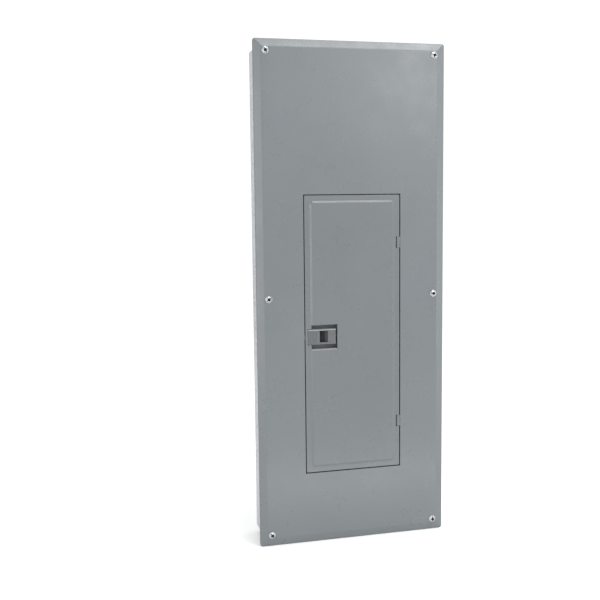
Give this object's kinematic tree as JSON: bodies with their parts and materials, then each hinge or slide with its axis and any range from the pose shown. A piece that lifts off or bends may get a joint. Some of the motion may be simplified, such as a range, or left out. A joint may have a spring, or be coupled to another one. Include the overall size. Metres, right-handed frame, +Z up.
{
  "type": "residential load center",
  "caption": "Wall-mounted residential load center: sheet steel enclosure, grey trim with hinged latching door, dead front, main and branch breakers, bus, neutral and ground bars.",
  "frame": {"origin": "centre of the enclosure's back face, where it meets the wall", "axes": "+X to the right seen from the front, +Z up along the long side, +Y into the wall; the door and trim face -Y"},
  "size_m": [0.3874, 0.1018, 0.9876],
  "materials": {
    "galvanised_steel": "galvanised sheet",
    "painted_steel": "grey powder coat",
    "zinc_plate": "zinc plated",
    "green_screw": "green coated",
    "tinned_aluminium": "tin plated aluminium",
    "tinned_copper": "copper alloy",
    "black_plastic": "moulded black",
    "handle_plastic": "moulded black",
    "latch_plastic": "moulded grey",
    "card": "printed card"
  },
  "bodies": {
    "enclosure": {"enclosure_box": "galvanised_steel", "interior_pan": "galvanised_steel", "interior_screw_1": "zinc_plate", "interior_screw_2": "zinc_plate", "interior_screw_3": "zinc_plate", "interior_screw_4": "zinc_plate", "ground_bar_screw_1": "zinc_plate", "ground_bar_screw_2": "zinc_plate", "main_strap_bolt_a": "zinc_plate", "main_strap_bolt_b": "zinc_plate", "neutral_lug_screw": "zinc_plate", "main_lug_screw_left": "zinc_plate", "main_lug_screw_right": "zinc_plate", "breaker_2p_terminal_screw_a": "zinc_plate", "breaker_2p_terminal_screw_b": "zinc_plate", "breaker_1p_terminal_screw": "zinc_plate", "bonding_screw": "green_screw", "bus_bar_a": "tinned_aluminium", "bus_bar_b": "tinned_aluminium", "neutral_bar_left": "tinned_aluminium", "neutral_bar_right": "tinned_aluminium", "neutral_strap": "tinned_aluminium", "neutral_lug": "tinned_aluminium", "ground_bar": "tinned_aluminium", "main_lug_left": "tinned_aluminium", "main_lug_right": "tinned_aluminium", "main_strap_a": "tinned_copper", "main_strap_b": "tinned_copper", "breaker_2p_jaw_a": "tinned_copper", "breaker_2p_jaw_b": "tinned_copper", "breaker_1p_jaw": "tinned_copper", "bus_support": "black_plastic", "neutral_support_left": "black_plastic", "neutral_support_right": "black_plastic", "main_breaker_base": "black_plastic", "main_breaker_cover": "black_plastic", "breaker_2p_case": "black_plastic", "breaker_1p_case": "black_plastic"},
    "cover": {"cover_trim": "painted_steel", "deadfront": "painted_steel", "deadfront_nut_1": "zinc_plate", "deadfront_nut_2": "zinc_plate", "deadfront_nut_3": "zinc_plate", "deadfront_nut_4": "zinc_plate", "cover_screw_1": "zinc_plate", "cover_screw_2": "zinc_plate", "cover_screw_3": "zinc_plate", "cover_screw_4": "zinc_plate", "cover_screw_5": "zinc_plate", "cover_screw_6": "zinc_plate"},
    "door": {"door": "painted_steel", "directory_card": "card", "hinge_pin_1": "zinc_plate", "hinge_pin_2": "zinc_plate", "latch_housing": "latch_plastic", "latch_spring": "zinc_plate"},
    "latch": {"latch_slider": "latch_plastic"},
    "main_handle": {"main_breaker_handle": "handle_plastic"},
    "two_pole_handle": {"breaker_2p_handle": "handle_plastic"},
    "one_pole_handle": {"breaker_1p_handle": "handle_plastic"}
  },
  "joints": [
    {"name": "cover_lift", "type": "slide", "parent": "enclosure", "child": "cover", "axis": [0, -1, 0], "range_m": [0, 0.12]},
    {"name": "door_hinge", "type": "hinge", "parent": "cover", "child": "door", "pos_m": [0.09495, -0.095, -0.07525], "axis": [0, 0, 1], "range_deg": [0, 105]},
    {"name": "latch_slide", "type": "slide", "parent": "door", "child": "latch", "axis": [1, 0, 0], "range_m": [0, 0.008], "stiffness_N_per_m": 250, "springref_m": -0.006, "deforming": ["latch_spring"]},
    {"name": "main_handle_toggle", "type": "hinge", "parent": "enclosure", "child": "main_handle", "pos_m": [0, -0.068, 0.131], "axis": [1, 0, 0], "range_deg": [0, 36]},
    {"name": "two_pole_handle_toggle", "type": "hinge", "parent": "enclosure", "child": "two_pole_handle", "pos_m": [0.041, -0.072, 0.03098], "axis": [0, 0, 1], "range_deg": [0, 36]},
    {"name": "one_pole_handle_toggle", "type": "hinge", "parent": "enclosure", "child": "one_pole_handle", "pos_m": [-0.041, -0.072, 0.0405], "axis": [0, 0, -1], "range_deg": [0, 36]}
  ]
}
